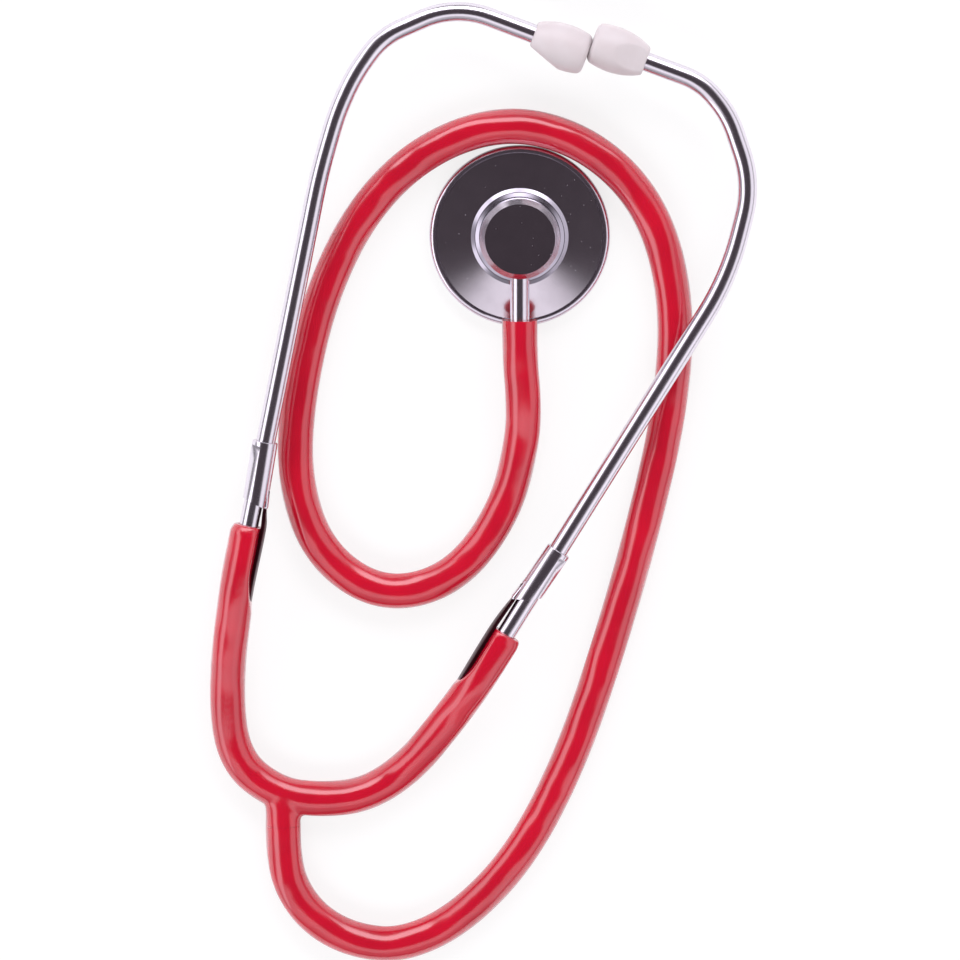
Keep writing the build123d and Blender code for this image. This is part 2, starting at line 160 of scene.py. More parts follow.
# Plasticised PVC: saturated red with a wet gloss; its skin waves over some
# centimetres, so the highlights wander and stop, and it lets a little light in.
CLOUD_SIZE = 14 * MM
SWELL_SIZE, SWELL_HEIGHT = 24 * MM, 3.2 * MM
WAVE_SIZE, WAVE_HEIGHT = 8 * MM, 0.35 * MM
GRAIN_SIZE, GRAIN_HEIGHT = 1.2 * MM, 0.02 * MM
soft_pvc, tree, shader = new_material(
    "plasticised PVC, red",
    Roughness=0.2,
    IOR=1.53,
    Subsurface_Weight=0.12,
    Subsurface_Radius=(0.9, 0.12, 0.1),
    Subsurface_Scale=2 * MM,
    Coat_Weight=1.0,
    Coat_Roughness=0.05,
    Coat_IOR=1.5,
)
place = add_node(tree, "ShaderNodeTexCoord").outputs["Object"]
clouds = add_node(tree, "ShaderNodeTexNoise", {
    "Vector": place, "Scale": 1 / CLOUD_SIZE, "Detail": 2.0,
})
red = add_node(tree, "ShaderNodeMix", {
    "Factor": clouds.outputs["Fac"],
    MIX_A: hex_colour("#A00A22"),
    MIX_B: hex_colour("#C40E2A"),
}, data_type="RGBA")
tree.links.new(red.outputs[MIX_RESULT], shader.inputs["Base Color"])
swells = add_node(tree, "ShaderNodeTexNoise", {
    "Vector": place, "Scale": 1 / SWELL_SIZE, "Detail": 1.0,
})
waves = add_node(tree, "ShaderNodeTexNoise", {
    "Vector": place, "Scale": 1 / WAVE_SIZE, "Detail": 1.0,
})
grain = add_node(tree, "ShaderNodeTexNoise", {
    "Vector": place, "Scale": 1 / GRAIN_SIZE, "Detail": 2.0,
})
swollen = add_node(tree, "ShaderNodeBump", {
    "Height": swells.outputs["Fac"],
    "Strength": 1.0,
    "Distance": SWELL_HEIGHT,
})
wavy = add_node(tree, "ShaderNodeBump", {
    "Height": waves.outputs["Fac"],
    "Normal": swollen.outputs["Normal"],
    "Strength": 0.6,
    "Distance": WAVE_HEIGHT,
})
skin = add_node(tree, "ShaderNodeBump", {
    "Height": grain.outputs["Fac"],
    "Normal": wavy.outputs["Normal"],
    "Strength": 0.25,
    "Distance": GRAIN_HEIGHT,
})
tree.links.new(skin.outputs["Normal"], shader.inputs["Normal"])
tree.links.new(wavy.outputs["Normal"], shader.inputs["Coat Normal"])

hose = smooth_line("hose_tube", HOSE_POINTS, TUBING_RADIUS, steps=14, round_steps=14)
hose.data.materials.append(soft_pvc)
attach(hose, "chest_and_tubing")
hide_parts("hose")


# ---- Fork ----
# The fork is moulded in one with the hose, of the same soft red PVC: a U whose
# two arms take the ear tubes in their open mouths, and whose stub runs on as the
# hose. It is cut into two halves at the middle of the U's bottom.
HEADSET_Z = 12.7
MOUTHS = {"left": (-68.9, -73.0), "right": (-3.4, -100.9)}
LEANS = {"left": math.radians(11.5), "right": math.radians(31.7)}
INWARD = {"left": 1, "right": -1}
BORE_RADIUS = 2.55
BORE_DEPTH = 10.0
STUB_X, STUB_END = HOSE_POINTS[0][:2]
STUB_TOP = -144.2
# The remesh's voxel size, how often it is smoothed, and what that takes off.
FORK_GRAIN = 0.3
FORK_SOFTENING = 12
FORK_SHRINK = 0.05
WEB_REACH = 6.5
WEB_SOFTENING = 40
STUB_FAIRING = 2.0
DOUBLES = 0.001 * MM
FORK_SEAM_X = -50.5


def on_axis(side, along, across=0.0, height=HEADSET_Z):
    """A point near an ear tube's straight: along it from the mouth, across it inwards."""
    x, y = MOUTHS[side]
    lean = LEANS[side]
    across = across * INWARD[side]
    x += along * math.sin(lean) + across * math.cos(lean)
    y += along * math.cos(lean) - across * math.sin(lean)
    return (x, y, height)


FORK_POINTS = [
    on_axis("left", 0),
    on_axis("left", -16),
    (-75.4, -115.5, 7.6),
    (-73.5, -135.0, LAY_Z),
    (-62.3, -144.0, LAY_Z),
    (-50.5, -145.4, LAY_Z),
    (-39.0, -144.0, LAY_Z),
    (-28.0, -136.6, LAY_Z),
    (-18.3, -124.0, 8.6),
    on_axis("right", -15),
    on_axis("right", 0),
]


def pick(piece):
    """Selects one object alone and makes it the active one."""
    bpy.ops.object.select_all(action="DESELECT")
    piece.select_set(True)
    bpy.context.view_layer.objects.active = piece


def as_mesh(piece):
    """Turns a curve into a mesh of its own."""
    pick(piece)
    bpy.ops.object.convert(target="MESH")
    return bpy.context.object


def own_copy(piece, name):
    """A copy of a piece with a mesh of its own, selected alone."""
    twin = piece.copy()
    twin.data = piece.data.copy()
    twin.name = name
    bpy.context.collection.objects.link(twin)
    pick(twin)
    return twin


def edit_vertices(piece, wanted):
    """Opens a piece in edit mode with only those vertices selected whose place is wanted."""
    pick(piece)
    bpy.ops.object.mode_set(mode="EDIT")
    bpy.ops.mesh.select_mode(type="VERT")
    bpy.ops.mesh.select_all(action="DESELECT")
    bpy.ops.object.mode_set(mode="OBJECT")
    for vertex in piece.data.vertices:
        vertex.select = wanted(vertex.co)
    bpy.ops.object.mode_set(mode="EDIT")


def finish_with(piece, kind, **settings):
    """Adds a modifier to a piece, sets it and applies it."""
    pick(piece)
    modifier = piece.modifiers.new(kind.lower(), kind)
    for key, value in settings.items():
        setattr(modifier, key, value)
    bpy.ops.object.modifier_apply(modifier=modifier.name)


def cut_away(piece, cutter):
    """Takes one closed shape off another, and removes the one that cut."""
    finish_with(piece, "BOOLEAN", operation="DIFFERENCE", object=cutter, solver="EXACT")
    bpy.data.objects.remove(cutter)


def outlined_line(name, line, corners, steps=12):
    """A bar along points with tilts; its outline's corners are (to the left, upwards)."""
    bar = smooth_line(name, [point for point, tilt in line], 0, steps=steps)
    outline = smooth_line(name + "_outline", [(-left, up, 0) for left, up in corners], 0, steps=1)
    outline.data.splines.clear()
    spline = outline.data.splines.new("POLY")
    spline.points.add(len(corners) - 1)
    for corner, (left, up) in zip(spline.points, corners):
        corner.co = (-left * MM, up * MM, 0, 1)
    spline.use_cyclic_u = True
    outline.data.dimensions = "2D"
    outline.data.fill_mode = "NONE"
    bar.data.twist_mode = "Z_UP"
    bar.data.bevel_mode = "OBJECT"
    bar.data.bevel_object = outline
    for control, (point, tilt) in zip(bar.data.splines[0].points, line):
        control.tilt = tilt
    bar = as_mesh(bar)
    bpy.data.objects.remove(outline)
    bpy.ops.object.mode_set(mode="EDIT")
    bpy.ops.mesh.select_all(action="SELECT")
    bpy.ops.mesh.remove_doubles(threshold=DOUBLES)
    bpy.ops.mesh.normals_make_consistent(inside=False)
    bpy.ops.object.mode_set(mode="OBJECT")
    return bar


def beside(points, distance):
    """Corners of the line that runs beside a line in plan, to the left of its way."""
    moved = []
    for index, point in enumerate(points):
        lefts = []
        for start, end in ((index - 1, index), (index, index + 1)):
            if start >= 0 and end < len(points):
                way = (Vector(points[end]) - Vector(points[start])).to_2d().normalized()
                lefts.append(Vector((-way.y, way.x)))
        first, last = lefts[0], lefts[-1]
        shift = (first + last) * (distance / (1 + first.dot(last)))
        moved.append((point[0] + shift.x, point[1] + shift.y, point[2]))
    return moved


# The spring strip's line, which the bare cut in each arm follows too: from the
# left sleeve down beside the left arm, under cover round the U, and up again.
# An inset is its distance from the axis of what it runs beside. It jogs outwards
# below its sleeve, and runs bare and straight past the fork's mouth.
STRIP_THICKNESS = 0.9
STRIP_WIDTH = 3.0
STRIP_INSET = 3.35
STRIP_BARE_INSET = 3.8
STRIP_SLEEVE_INSET = 3.1
STRIP_IN_SLEEVE = 4.6
STRIP_TILT = math.radians(13)
STRIP_DIVE = 0.3
STRIP_SETTLING = 0.1
JOG = 0.3
JOG_START = 0.5
JOG_MIDDLE = 2.0
BARE_START = 0.5
BARE_STRAIGHT = 6.0
CUT_ABOVE_MOUTH = 6
CUT_OUTSIDE = 0.8
CUT_CLEARANCE = 0.05
SLEEVE_GAPS = {"left": 4.9, "right": 8.3}


def upper_arm(side):
    """The fork's corners from a mouth down past the place where the strip dives in."""
    arm = FORK_POINTS[:3] if side == "left" else FORK_POINTS[:-4:-1]
    arm.insert(2, tuple(Vector(arm[1]).lerp(Vector(arm[2]), STRIP_DIVE)))
    return arm


def strip_end(side):
    """The strip's corners and tilts from inside a sleeve to where it dives into the arm."""
    gap = SLEEVE_GAPS[side]
    arm = upper_arm(side)
    beside_arm = beside(arm, INWARD[side] * (STRIP_BARE_INSET - STRIP_SETTLING))
    inside_arm = beside(arm, INWARD[side] * (STRIP_INSET + STRIP_SETTLING))
    return [
        (on_axis(side, gap + STRIP_IN_SLEEVE, STRIP_SLEEVE_INSET), 0.0),
        (on_axis(side, gap + JOG_START, STRIP_SLEEVE_INSET), 0.0),
        (on_axis(side, gap - JOG_MIDDLE, STRIP_SLEEVE_INSET + JOG), STRIP_TILT / 2),
        (on_axis(side, BARE_START, STRIP_BARE_INSET), STRIP_TILT),
        (on_axis(side, -BARE_STRAIGHT, STRIP_BARE_INSET), STRIP_TILT),
        (beside_arm[1], 0.8 * STRIP_TILT),
        (inside_arm[2], 0.5 * STRIP_TILT),
    ]


def bare_cut_line(side):
    """The cut that bares the strip: beside it, and out of the arm where the strip dives in."""
    outside_arm = beside(upper_arm(side), INWARD[side] * (TUBING_RADIUS + CUT_OUTSIDE))
    start = (on_axis(side, CUT_ABOVE_MOUTH, STRIP_BARE_INSET), STRIP_TILT)
    bare_corners = strip_end(side)[3:6]
    return [start] + bare_corners + [(outside_arm[2], 0.0)]


# The mouths narrow a little over their last millimetres.
MOUTH_ROUNDING = 1.6
MOUTH_NARROWING = {"left": 0.82, "right": 0.88}
tube_points = list(FORK_POINTS)
tube_points[1:1] = [on_axis("left", -MOUTH_ROUNDING), on_axis("left", -2 * MOUTH_ROUNDING)]
tube_points[-1:-1] = [on_axis("right", -2 * MOUTH_ROUNDING), on_axis("right", -MOUTH_ROUNDING)]
tube = smooth_line("fork_tube", tube_points, TUBING_RADIUS + FORK_SHRINK, steps=16)
tube.data.splines[0].points[0].radius = MOUTH_NARROWING["left"]
tube.data.splines[0].points[-1].radius = MOUTH_NARROWING["right"]
tube = as_mesh(tube)
stub = as_mesh(smooth_line(
    "fork_stub",
    [(STUB_X, STUB_TOP, LAY_Z), (STUB_X, STUB_TOP - 3, LAY_Z), (STUB_X, STUB_END - 4, LAY_Z)],
    TUBING_RADIUS + FORK_SHRINK,
))
for side in MOUTHS:
    bore = as_mesh(smooth_line(
        "bore",
        [on_axis(side, 3), on_axis(side, 0), on_axis(side, -BORE_DEPTH)],
        BORE_RADIUS,
    ))
    cut_away(tube, bore)
for side in MOUTHS:
    near = -INWARD[side] * (STRIP_THICKNESS / 2 + CUT_CLEARANCE)
    far = INWARD[side] * 2 * TUBING_RADIUS
    line = [(point, INWARD[side] * tilt) for point, tilt in bare_cut_line(side)]
    corners = [(near, -far), (far, -far), (far, far), (near, far)]
    cut_away(tube, outlined_line("bare_cut", line, corners))
pick(tube)
stub.select_set(True)
bpy.ops.object.join()
fork = bpy.context.object
finish_with(fork, "REMESH", mode="VOXEL", voxel_size=FORK_GRAIN * MM)
finish_with(fork, "SMOOTH", factor=0.5, iterations=FORK_SOFTENING)
# The stub runs into the bow with a web in each corner.
crotch = Vector((STUB_X, STUB_TOP - TUBING_RADIUS, LAY_Z)) * MM
edit_vertices(fork, lambda place: (place - crotch).length < WEB_REACH * MM)
bpy.ops.mesh.vertices_smooth(factor=0.5, repeat=WEB_SOFTENING)
bpy.ops.object.mode_set(mode="OBJECT")
bpy.ops.object.shade_smooth()
fork.data.materials.append(soft_pvc)
smooth_way = fork.data.attributes.new("smooth_way", "FLOAT_VECTOR", "POINT")
smooth_way.data.foreach_set("vector", [c for vertex in fork.data.vertices for c in vertex.normal])
bpy.ops.object.mode_set(mode="EDIT")
bpy.ops.mesh.select_all(action="SELECT")
bpy.ops.mesh.bisect(
    plane_co=(0, STUB_END * MM, 0), plane_no=(0, -1, 0), clear_outer=True, use_fill=True,
)
bpy.ops.mesh.select_all(action="SELECT")
bpy.ops.mesh.bisect(plane_co=(FORK_SEAM_X * MM, 0, 0), plane_no=(1, 0, 0))
bpy.ops.object.mode_set(mode="OBJECT")
# The stub's end takes the hose's exact radius, so that no step shows between them.
for vertex in fork.data.vertices:
    from_end = vertex.co.y - STUB_END * MM
    if from_end < STUB_FAIRING * MM:
        out = Vector((vertex.co.x - STUB_X * MM, 0, vertex.co.z - LAY_Z * MM))
        share = 1 - from_end / (STUB_FAIRING * MM)
        vertex.co += out * (share * (TUBING_RADIUS * MM / out.length - 1))


def fork_half(side):
    """The half of the fork on one side of its seam, with the whole fork's smooth shading."""
    half = own_copy(fork, side + "_fork_half")
    bpy.ops.object.mode_set(mode="EDIT")
    bpy.ops.mesh.select_mode(type="FACE")
    bpy.ops.object.mode_set(mode="OBJECT")
    for face in half.data.polygons:
        face.select = (face.center.x > FORK_SEAM_X * MM) == (side == "left")
    bpy.ops.object.mode_set(mode="EDIT")
    bpy.ops.mesh.delete(type="FACE")
    bpy.ops.object.mode_set(mode="OBJECT")
    ways = half.data.attributes["smooth_way"].data
    half.data.normals_split_custom_set_from_vertices([tuple(way.vector) for way in ways])
    half.data.attributes.remove(half.data.attributes["smooth_way"])
    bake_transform(half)
    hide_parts(side + "_arm_tubing", "y_tubing")


fork_half("left")
fork_half("right")
bpy.data.objects.remove(fork)


# ---- Leaf spring ----
# One flat strip of dark rolled spring steel that presses the ear tubes together.
# It lies inside the fork's U, comes out of each arm's inner side, runs up beside
# it, leaning outwards, and ends in the crimped sleeve.

# Oiled and rolled black: dark, with a dull metal sheen. Its red-brown tint is painted: it stands
# in for the shade and the reflection of the red tubing around the strip.
dark_steel, tree, shader = new_material(
    "rolled spring steel, oiled black",
    Metallic=0.85,
    Roughness=0.32,
)
place = add_node(tree, "ShaderNodeTexCoord").outputs["Object"]
patches = add_node(tree, "ShaderNodeTexNoise", {
    "Vector": place, "Scale": 1 / (3 * MM), "Detail": 3.0,
})
# Both colours carry a painted red-brown tint for the red tubing's shade and reflection on the
# strip; their darkness is the oiled steel's own.
steel = add_node(tree, "ShaderNodeMix", {
    "Factor": patches.outputs["Fac"],
    MIX_A: hex_colour("#260A12"),
    MIX_B: hex_colour("#481C26"),
}, data_type="RGBA")
tree.links.new(steel.outputs[MIX_RESULT], shader.inputs["Base Color"])

STRIP_ROUNDING = 0.15
covered = [(point, 0.0) for point in beside(FORK_POINTS, STRIP_INSET)[2:-2]]
strip_line = strip_end("left") + covered + strip_end("right")[::-1]
half_thickness = STRIP_THICKNESS / 2
half_width = STRIP_WIDTH / 2
strip = outlined_line("spring_strip", strip_line, [
    (-half_thickness, -half_width), (half_thickness, -half_width),
    (half_thickness, half_width), (-half_thickness, half_width),
])
finish_with(strip, "BEVEL", width=STRIP_ROUNDING * MM, segments=2, limit_method="ANGLE")
bpy.ops.object.shade_smooth_by_angle(angle=math.radians(40))
strip.data.materials.append(dark_steel)


def strip_half(side):
    """The half of the spring strip on one side of the fork's seam."""
    half = own_copy(strip, side + "_spring_half")
    bpy.ops.object.mode_set(mode="EDIT")
    bpy.ops.mesh.select_all(action="SELECT")
    bpy.ops.mesh.bisect(
        plane_co=(FORK_SEAM_X * MM, 0, 0), plane_no=(1, 0, 0), use_fill=True,
        clear_outer=side == "left", clear_inner=side == "right",
    )
    bpy.ops.object.mode_set(mode="OBJECT")
    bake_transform(half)
    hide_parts(side + "_spring_leg", "leaf_spring")


strip_half("left")
strip_half("right")
bpy.data.objects.remove(strip)


# ---- Ear tubes and sleeves ----
# Two bent tubes of chromium-plated steel. On each sits a short crimped sleeve
# with a flat pressed on its outer side, which holds the end of the spring strip
# against the tube in a wedge on its inner side, and is cut slantwise below.

# Bright plate: a cool white mirror, which the bent tube's waves break up a little.
chrome, tree, shader = new_material(
    "chromium plate on steel tube",
    Base_Color=hex_colour("#DEDAE2"),
    Metallic=1.0,
    Roughness=0.19,
)
place = add_node(tree, "ShaderNodeTexCoord").outputs["Object"]
waves = add_node(tree, "ShaderNodeTexNoise", {
    "Vector": place, "Scale": 1 / (5 * MM), "Detail": 2.0,
})
skin = add_node(tree, "ShaderNodeBump", {
    "Height": waves.outputs["Fac"], "Strength": 0.3, "Distance": 0.05 * MM,
})
tree.links.new(skin.outputs["Normal"], shader.inputs["Normal"])
for name in ("left_ear_tube", "right_ear_tube", "stem"):
    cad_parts[name].material_slots[0].material = chrome

SLEEVE_RADIUS = 3.25
SLEEVE_LENGTH = 17.0
SLEEVE_TILT = math.radians(2)
SLEEVE_SHIFT = 0.15
SLEEVE_BORE = 2.5
SLEEVE_LIP = 1.3
SLEEVE_ROUNDING = 0.35
FLAT_DISTANCE = 2.95
WEDGE_REACH = 4.0
WEDGE_HEIGHT = 4.0
WEDGE_LENGTH = 12.0
WEDGE_NARROWING = 0.72
WEDGE_ROUNDING = 0.8
SLOT_CLEARANCE = 0.05
SLOT_BEYOND_STRIP = 0.5
SLEEVE_SLANTS = {"left": 2.0, "right": 4.5}
ROOM = 12.0


def block(name, low, high, rotation=(0, 0, 0), pivot=(0, 0, 0)):
    """A box between two corners, turned about a pivot; all in millimetres."""
    centre = (Vector(low) + Vector(high)) / 2 - Vector(pivot)
    centre.rotate(Euler(rotation))
    bpy.ops.object.select_all(action="DESELECT")
    place = (centre + Vector(pivot)) * MM
    bpy.ops.mesh.primitive_cube_add(size=MM, location=place, rotation=rotation)
    box = bpy.context.object
    box.name = name
    box.scale = Vector(high) - Vector(low)
    bpy.ops.object.transform_apply(location=True, rotation=True, scale=True)
    return box


def rod(name, radius, length, middle, lean=0.0):
    """A round bar along +Y, leaning in plan; millimetres."""
    bpy.ops.object.select_all(action="DESELECT")
    bpy.ops.mesh.primitive_cylinder_add(
        vertices=96, radius=radius * MM, depth=length * MM,
        location=Vector(middle) * MM, rotation=(math.radians(-90), 0, lean),
    )
    bar = bpy.context.object
    bar.name = name
    bpy.ops.object.transform_apply(location=True, rotation=True, scale=True)
    return bar


for side in MOUTHS:
    # Shaped with +X inwards, +Y along the ear tube from the sleeve's foot and +Z up.
    middle = (SLEEVE_SHIFT, SLEEVE_LENGTH / 2, 0)
    sleeve = rod(side + "_crimped_sleeve", SLEEVE_RADIUS, SLEEVE_LENGTH, middle, SLEEVE_TILT)
    finish_with(sleeve, "BEVEL", width=SLEEVE_ROUNDING * MM, segments=3, limit_method="ANGLE")
    half_height = WEDGE_HEIGHT / 2
    wedge = block("wedge", (0, 0, -half_height), (WEDGE_REACH, WEDGE_LENGTH, half_height))
    edit_vertices(wedge, lambda place: place.y > WEDGE_LENGTH / 2 * MM)
    narrowing = (WEDGE_NARROWING, 1, WEDGE_NARROWING)
    bpy.ops.transform.resize(value=narrowing, center_override=(0, 0, 0))
    bpy.ops.object.mode_set(mode="OBJECT")
    finish_with(wedge, "BEVEL", width=WEDGE_ROUNDING * MM, segments=5, limit_method="ANGLE")
    finish_with(sleeve, "BOOLEAN", operation="UNION", object=wedge, solver="EXACT")
    bpy.data.objects.remove(wedge)
    cut_away(sleeve, block(
        "flat", (-ROOM, -ROOM, -ROOM), (-FLAT_DISTANCE, SLEEVE_LENGTH - SLEEVE_LIP, ROOM),
        rotation=(0, math.radians(45), 0),
    ))
    slant = math.atan2(SLEEVE_SLANTS[side], WEDGE_REACH + SLEEVE_RADIUS)
    cut_away(sleeve, block(
        "slanted_foot", (-ROOM, -ROOM, -ROOM), (ROOM, 0, ROOM),
        rotation=(0, 0, -slant), pivot=(WEDGE_REACH, 0, 0),
    ))
    cut_away(sleeve, rod("bore", SLEEVE_BORE, 4 * SLEEVE_LENGTH, (0, 0, 0)))
    slot_reach = STRIP_SLEEVE_INSET + STRIP_THICKNESS / 2 + SLOT_CLEARANCE
    slot_end = STRIP_IN_SLEEVE + SLOT_BEYOND_STRIP
    slot_half = STRIP_WIDTH / 2 + SLOT_CLEARANCE
    cut_away(sleeve, block("slot", (0, -ROOM, -slot_half), (slot_reach, slot_end, slot_half)))
    inward_x, inward_y = (Vector(on_axis(side, 0, 1)) - Vector(on_axis(side, 0))).to_2d()
    along_x, along_y = (Vector(on_axis(side, 1)) - Vector(on_axis(side, 0))).to_2d()
    foot = Vector(on_axis(side, SLEEVE_GAPS[side])) * MM
    pick(sleeve)
    sleeve.matrix_world = Matrix((
        (inward_x, along_x, 0, foot.x),
        (inward_y, along_y, 0, foot.y),
        (0, 0, 1, foot.z),
        (0, 0, 0, 1),
    ))
    bpy.ops.object.transform_apply(location=True, rotation=True, scale=True)
    bpy.ops.object.mode_set(mode="EDIT")
    bpy.ops.mesh.select_all(action="SELECT")
    bpy.ops.mesh.normals_make_consistent(inside=False)
    bpy.ops.object.mode_set(mode="OBJECT")
    bpy.ops.object.shade_smooth_by_angle(angle=math.radians(25))
    sleeve.data.materials.append(chrome)
    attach(sleeve, side + "_arm")
    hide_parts(side + "_sleeve")


# ---- Ear tips ----
# Two soft tips of milky PVC, pushed on the tubes' ends. Each is cut slantwise
# behind, so that it sits in the ear.

# Unpigmented soft PVC: cloudy white, a little pink, half matt, with light inside it.
milky_pvc, tree, shader = new_material(
    "plasticised PVC, milky",
    Roughness=0.42,
    IOR=1.5,
    Subsurface_Weight=0.3,
    Subsurface_Radius=(1.0, 0.85, 0.85),
    Subsurface_Scale=1.5 * MM,
)
place = add_node(tree, "ShaderNodeTexCoord").outputs["Object"]
clouds = add_node(tree, "ShaderNodeTexNoise", {
    "Vector": place, "Scale": 1 / (6 * MM), "Detail": 2.0,
})
milk = add_node(tree, "ShaderNodeMix", {
    "Factor": clouds.outputs["Fac"],
    MIX_A: hex_colour("#BFB5B6"),
    MIX_B: hex_colour("#CBC6C8"),
}, data_type="RGBA")
tree.links.new(milk.outputs[MIX_RESULT], shader.inputs["Base Color"])
TIPS_MEET = Vector((17.6, 48.3, HEADSET_Z)) * MM
TIP_ANGLE = math.radians(20.5)
TIP_WAYS = {
    "left": Vector((math.cos(TIP_ANGLE), -math.sin(TIP_ANGLE), 0)),
    "right": Vector((-math.cos(TIP_ANGLE), math.sin(TIP_ANGLE), 0)),
}
TIP_FRONT_FACE = 0.3 * MM
TIP_PRESS = 0.2 * MM
# The voxel size of the remesh, and how often it is smoothed after that.
TIP_GRAIN = 0.22
TIP_SOFTENING = 10

for side in MOUTHS:
    tip = own_copy(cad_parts[side + "_ear_tip"], side + "_soft_tip")
    tip.parent = None
    for key in list(tip.keys()):
        del tip[key]
    bpy.ops.object.mode_set(mode="EDIT")
    bpy.ops.mesh.select_all(action="SELECT")
    bpy.ops.mesh.remove_doubles(threshold=DOUBLES)
    bpy.ops.object.mode_set(mode="OBJECT")
    way = TIP_WAYS[side]
    edit_vertices(tip, lambda place: (TIPS_MEET - place).dot(way) < TIP_FRONT_FACE)
    bpy.ops.transform.translate(value=TIP_PRESS * way)
    bpy.ops.object.mode_set(mode="OBJECT")
    finish_with(tip, "REMESH", mode="VOXEL", voxel_size=TIP_GRAIN * MM)
    finish_with(tip, "SMOOTH", factor=0.5, iterations=TIP_SOFTENING)
    bpy.ops.object.shade_smooth()
    tip.data.materials.clear()
    tip.data.materials.append(milky_pvc)
    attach(tip, side + "_tip")
    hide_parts(side + "_ear_tip")


# ---- Chest piece ----
# A light alloy head, turned on a lathe: a shallow cone with a stepped collar and
# a drum-shaped hub. A polished rim is screwed over its edge.

# Turned and polished: fine rings round the axis draw each light out into a fan,
# the hub's flat top has none, and a few specks of dust are dull. The collar is
# darker. Heights are above the table; the specks are 1.9 mm apart.
RINGS_END, PLAIN_START = 13.9 * MM, 14.15 * MM
RING_STRENGTH = 0.5
SPECK_SPACING = 1.9 * MM
DULL, POLISHED = 0.5, 0.16
COLLAR_MIDDLE, COLLAR_INSIDE, COLLAR_OUTSIDE = 6.75 * MM, 0.6 * MM, 0.7 * MM
turned_alloy, tree, shader = new_material(
    "turned aluminium, polished",
    Metallic=1.0,
    Roughness=POLISHED,
)
place = add_node(tree, "ShaderNodeTexCoord").outputs["Object"]
around = add_node(tree, "ShaderNodeVectorMath", {
    0: place, 1: (0, 0, 1),
}, operation="CROSS_PRODUCT")
tree.links.new(around.outputs["Vector"], shader.inputs["Tangent"])
height = add_node(tree, "ShaderNodeSeparateXYZ", {"Vector": place}).outputs["Z"]
turned = add_node(tree, "ShaderNodeMapRange", {
    "Value": height,
    "From Min": RINGS_END,
    "From Max": PLAIN_START,
    "To Min": RING_STRENGTH,
    "To Max": 0.0,
})
tree.links.new(turned.outputs["Result"], shader.inputs["Anisotropic"])
clouds = add_node(tree, "ShaderNodeTexNoise", {
    "Vector": place, "Scale": 1 / (5 * MM), "Detail": 3.0,
})
alloy = add_node(tree, "ShaderNodeMix", {
    "Factor": clouds.outputs["Fac"],
    MIX_A: hex_colour("#C6C0C8"),
    MIX_B: hex_colour("#DAD4DC"),
}, data_type="RGBA")
specks = add_node(tree, "ShaderNodeTexVoronoi", {
    "Vector": place, "Scale": 1 / SPECK_SPACING, "Randomness": 1.0,
})
dust = add_node(tree, "ShaderNodeMapRange", {
    "Value": specks.outputs["Distance"],
    "From Min": 0.03,
    "From Max": 0.06,
    "To Min": DULL,
    "To Max": POLISHED,
})
above_collar = add_node(tree, "ShaderNodeMath", {
    0: height, 1: COLLAR_MIDDLE,
}, operation="SUBTRACT").outputs["Value"]
from_collar = add_node(tree, "ShaderNodeMath", {
    0: above_collar,
}, operation="ABSOLUTE").outputs["Value"]
collar = add_node(tree, "ShaderNodeMapRange", {
    "Value": from_collar,
    "From Min": COLLAR_INSIDE,
    "From Max": COLLAR_OUTSIDE,
    "To Min": 1.0,
    "To Max": 0.0,
})
alloy = add_node(tree, "ShaderNodeMix", {
    "Factor": collar.outputs["Result"],
    MIX_A: alloy.outputs[MIX_RESULT],
    MIX_B: hex_colour("#B2AEBA"),
}, data_type="RGBA")
tree.links.new(alloy.outputs[MIX_RESULT], shader.inputs["Base Color"])
tree.links.new(dust.outputs["Result"], shader.inputs["Roughness"])
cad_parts["chest_body"].material_slots[0].material = turned_alloy

# Rolled and polished: brighter than the plate, with shallow dents.
rim_alloy, tree, shader = new_material(
    "rolled aluminium rim, polished",
    Base_Color=hex_colour("#DCD6E0"),
    Metallic=1.0,
    Roughness=0.2,
)
place = add_node(tree, "ShaderNodeTexCoord").outputs["Object"]
dents = add_node(tree, "ShaderNodeTexNoise", {
    "Vector": place, "Scale": 1 / (7 * MM), "Detail": 2.0,
})
skin = add_node(tree, "ShaderNodeBump", {
    "Height": dents.outputs["Fac"], "Strength": 0.6, "Distance": 0.3 * MM,
})
tree.links.new(skin.outputs["Normal"], shader.inputs["Normal"])
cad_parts["retaining_ring"].material_slots[0].material = rim_alloy

# Pressed sheet of glass fibre and resin: off-white and faintly cloudy.
diaphragm_sheet, tree, shader = new_material(
    "glass epoxy sheet, off-white",
    Roughness=0.3,
    IOR=1.5,
)
place = add_node(tree, "ShaderNodeTexCoord").outputs["Object"]
fibres = add_node(tree, "ShaderNodeTexNoise", {
    "Vector": place, "Scale": 1 / (2 * MM), "Detail": 4.0,
})
resin = add_node(tree, "ShaderNodeMix", {
    "Factor": fibres.outputs["Fac"],
    MIX_A: hex_colour("#DEDAD2"),
    MIX_B: hex_colour("#ECE9E4"),
}, data_type="RGBA")
tree.links.new(resin.outputs[MIX_RESULT], shader.inputs["Base Color"])
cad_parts["diaphragm"].material_slots[0].material = diaphragm_sheet


# ---- Table and studio light ----
# A plain white table top under a pale tent. Straight above, where the camera
# looks through, the tent has a dark gap; the tent is brightest just above it and
# to its left. Two soft lamps, which no polished surface mirrors, fill in.
FLOOR_SIZE = 4.0
FLOOR_DROP = 0.05 * MM
SEEN_LIFT = 0.8
MIRRORED_LIFT = 0.12
bpy.ops.object.select_all(action="DESELECT")
bpy.ops.mesh.primitive_plane_add(size=FLOOR_SIZE, location=(0, 0, -FLOOR_DROP))
table = bpy.context.object
table.name = "table_top"

